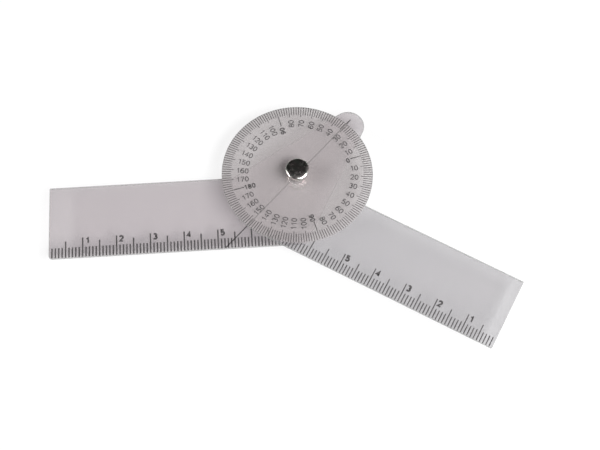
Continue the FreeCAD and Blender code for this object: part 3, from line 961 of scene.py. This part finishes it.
@dataclass
class RivetCap:
    """Cap of the rivet: a pressed cup with a domed top, in millimetres."""

    name: str
    node: str
    upside_down: bool
    belly: float = 2.6
    foot: float = 2.75
    bore: float = 1.7
    wall: float = 0.3
    dome_power: float = 2.2
    dome_steps: int = 33
    side_steps: int = 13
    around: int = 128

    def profile(self, radius: float, height: float) -> np.ndarray:
        """Closed section of the cup as radius and height, starting at the axis on top.

        The top is a superellipse: the share of the widest radius, raised to the dome's power, is
        the squared sine of an angle whose cosine gives the height above the widest part. The
        side is an arc that turns under to the foot. The inside is the same line one wall in.

        Args:
            radius: Widest radius.
            height: Lip to top.

        Returns:
            Points from the axis over the outside to the lip and back to the axis inside.
        """
        bend = np.linspace(0, math.pi / 2, self.dome_steps)
        dome = np.column_stack((radius * np.sin(bend) ** (2 / self.dome_power),
                                self.belly + (height - self.belly) * np.cos(bend)))
        drop = radius - self.foot
        sweep = (drop ** 2 + self.belly ** 2) / (2 * drop)
        under = np.linspace(0, math.asin(self.belly / sweep), self.side_steps)[1:]
        side = np.column_stack((radius - sweep * (1 - np.cos(under)),
                                self.belly - sweep * np.sin(under)))
        shrink = (radius - self.wall) / radius
        return np.concatenate((
            dome,
            side,
            [[self.bore, 0.0], [self.bore, self.wall]],
            np.column_stack((side[::-1][2:, 0] - self.wall, side[::-1][2:, 1])),
            np.column_stack((dome[::-1, 0] * shrink, dome[::-1, 1] - self.wall)),
        ))

    def build(self, material: bpy.types.Material) -> bpy.types.Object:
        """Make the cap: its section carried round the pivot's axis.

        Args:
            material: The plating.

        Returns:
            The finished piece.
        """
        low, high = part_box(self.node)
        section = self.profile(high.x / MM, (high.z - low.z) / MM)
        angle = np.linspace(0, 2 * math.pi, self.around, endpoint=False)
        radius, rise = section[:, :1], section[:, 1:]
        height = high.z / MM - rise if self.upside_down else low.z / MM + rise
        level = np.broadcast_to(height, (len(section), self.around))
        corners = np.stack((radius * np.cos(angle), radius * np.sin(angle), level), axis=2)
        faces = grid_faces(len(section), self.around, False)
        if not self.upside_down:
            faces = faces[:, ::-1]
        piece = new_mesh(self.name, corners.reshape(-1, 3), faces, True)
        close_poles(piece)
        piece.data.materials.append(material)
        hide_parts(self.node)
        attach(piece, Body.DIAL.value)
        return piece


@dataclass(frozen=True)
class Softbox:
    """Soft rectangular lamp that faces the object, in degrees, metres and watts."""

    name: str
    bearing: float
    elevation: float
    distance: float
    size: tuple[float, float]
    power: float

    def build(self) -> None:
        """Place the lamp."""
        data = bpy.data.lights.new(self.name, "AREA")
        data.shape = "RECTANGLE"
        data.size, data.size_y = self.size
        data.energy = self.power
        lamp = bpy.data.objects.new(self.name, data)
        bpy.context.scene.collection.objects.link(lamp)
        place = heading_vector(self.bearing, self.elevation) * self.distance
        aim = place.to_track_quat("Z", "Y").to_matrix().to_4x4()
        lamp.matrix_world = Matrix.Translation(place) @ aim


@dataclass(frozen=True)
class WallPart:
    """Soft patch of the surroundings: its middle and how it fades, in degrees, and its light."""

    bearing: float
    elevation: float
    starts: float
    full: float
    colour: Colour


@dataclass
class Studio:
    """Pale floor, two softboxes at the sides and dim surroundings."""

    floor_half: float = 3.0
    world_colour: Colour = (0.13, 0.13, 0.133)
    shade: Grain = Grain(scale=3.5, detail=2, low=0.35, high=0.65)
    shade_levels: tuple[float, float] = (0.6, 1.5)
    wall_parts: tuple[WallPart, ...] = (
        WallPart(bearing=25.0, elevation=38.0, starts=70.0, full=25.0, colour=(0.42, 0.42, 0.43)),
        WallPart(bearing=130.0, elevation=5.0, starts=85.0, full=55.0, colour=(0.02, 0.02, 0.02)),
        WallPart(bearing=115.7, elevation=66.0, starts=52.0, full=20.0, colour=(0.02, 0.02, 0.02)),
        WallPart(bearing=-64.3, elevation=35.0, starts=38.0, full=15.0,
                 colour=(0.02, 0.022, 0.022)),
    )
    softboxes: tuple[Softbox, ...] = (
        Softbox("right_softbox", bearing=-9.0, elevation=45.0, distance=1.4, size=(1.4, 0.52),
                power=26.0),
        Softbox("left_softbox", bearing=-143.0, elevation=26.0, distance=1.5, size=(1.1, 0.3),
                power=13.3),
    )

    def build_floor(self) -> None:
        """Level floor in the plane that the rear cap rests on."""
        half = self.floor_half / MM
        corners = np.array([[-half, -half, 0], [half, -half, 0], [half, half, 0], [-half, half, 0]])
        floor = new_mesh("studio_floor", corners, np.array([[0, 1, 2, 3]]), False)
        floor.data.materials.append(StudioFloor().material())

    def build_world(self) -> None:
        """Dim surroundings, pale at the right and dark beyond, overhead and behind the camera."""
        world = bpy.data.worlds.new("studio_world")
        bpy.context.scene.world = world
        graph = NodeGraph(world)
        direction = graph.add("ShaderNodeTexCoord").outputs["Generated"]
        colour = rgba(self.world_colour)
        for part in self.wall_parts:
            near = graph.nearness(direction, heading_vector(part.bearing, part.elevation),
                                  part.starts, part.full)
            colour = graph.blend(near, colour, rgba(part.colour))
        shade = graph.add("ShaderNodeTexNoise", Vector=direction, Scale=self.shade.scale,
                          Detail=self.shade.detail)
        level = graph.span(shade.outputs["Fac"], self.shade.low, self.shade.high,
                           *self.shade_levels)
        glow = graph.add("ShaderNodeBackground", Color=colour, Strength=level)
        graph.show(glow.outputs[0], "ShaderNodeOutputWorld")

    def build(self) -> None:
        """Make the floor, the surroundings and the lamps."""
        self.build_floor()
        self.build_world()
        for softbox in self.softboxes:
            softbox.build()


@dataclass(frozen=True)
class PhotoCamera:
    """Camera at the photograph's viewpoint, in millimetres and degrees."""

    bearing: float = 25.70
    elevation: float = 65.95
    roll: float = 2.36
    distance: float = 345.5
    target: tuple[float, float] = (1.45, -17.29)
    focal_pixels: float = 1159.4
    frame_pixels: float = 600.0
    sensor: float = 36.0
    near_limit: float = 0.01

    def build(self, level: float) -> None:
        """Place the camera.

        Args:
            level: Height of the plane that the target lies in, in millimetres.
        """
        tilt, lean = math.radians(self.elevation), math.radians(self.roll)
        turn = Matrix.Rotation(math.radians(self.bearing), 3, "Z")
        forward = turn @ Vector((0, math.cos(tilt), -math.sin(tilt)))
        right = turn @ Vector((1, 0, 0))
        up = turn @ Vector((0, math.sin(tilt), math.cos(tilt)))
        across = right * math.cos(lean) + up * math.sin(lean)
        upward = up * math.cos(lean) - right * math.sin(lean)
        place = turn @ Vector((*self.target, level)) - forward * self.distance
        data = bpy.data.cameras.new("photo_camera")
        data.sensor_width = self.sensor
        data.lens = self.focal_pixels / self.frame_pixels * self.sensor
        data.clip_start = self.near_limit
        camera = bpy.data.objects.new("photo_camera", data)
        bpy.context.scene.collection.objects.link(camera)
        basis = Matrix((across, upward, -forward)).transposed().to_4x4()
        camera.matrix_world = Matrix.Translation(place * MM) @ basis
        bpy.context.scene.camera = camera


@dataclass
class AngleFinder:
    """The whole tool: sheets, printing and rivet."""

    rest_reading: float = 32.0

    def dress_nodes(self, ink: bpy.types.Material, steel: bpy.types.Material) -> None:
        """Give the frame's own printed lines and rivet core their finishes."""
        for name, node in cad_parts.items():
            finish = steel if name in ("rivet_tube", "rivet_stem") else ink
            if name.endswith("_lines") or name.endswith("_line") or finish is steel:
                node.data.materials.clear()
                node.data.materials.append(finish)
                LOG.info("%s wears %s", name, finish.name)

    def build(self) -> None:
        """Build every piece in order."""
        turn = math.radians(self.rest_reading)
        ink = PrintedInk().material()
        nickel = NickelPlate().material()
        edge = CutEdge().material()
        dial = DialScale()
        right, left = RulerScale(side=1, beside=1.25), RulerScale(side=-1, beside=1.4)
        numbers = [
            PrintedNumbers("dial_numbers", Body.DIAL, dial.plain, dial.plain_labels(),
                           "dial_sheet"),
            PrintedNumbers("dial_bold_numbers", Body.DIAL, dial.bold, dial.bold_labels(),
                           "dial_sheet"),
            PrintedNumbers("dial_ruler_numbers", Body.DIAL, right.lettering, right.labels(),
                           "dial_sheet"),
            PrintedNumbers("index_ruler_numbers", Body.INDEX, left.lettering, left.labels(),
                           "index_sheet", turn),
        ]
        pieces = [
            DialPlate().build([DiscSheet().material(), edge]),
            IndexPlate(turn=turn).build([ClearSheet().material(), edge]),
            *(group.build(ink) for group in numbers),
            RivetCap("front_cap", "rivet_front_cap", upside_down=False).build(nickel),
            RivetCap("rear_cap", "rivet_rear_cap", upside_down=True).build(nickel),
        ]
        for piece in pieces:
            LOG.info("%s: %d faces", piece.name, len(piece.data.polygons))
        self.dress_nodes(ink, TurnedSteel().material())


def main() -> None:
    """Build the tool, the studio and the camera."""
    logging.basicConfig(level=logging.INFO, format="%(message)s")
    bpy.context.scene.view_settings.view_transform = "Standard"
    AngleFinder().build()
    Studio().build()
    PhotoCamera().build(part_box("dial_sheet")[1].z / MM)


if __name__ == "__main__":
    main()
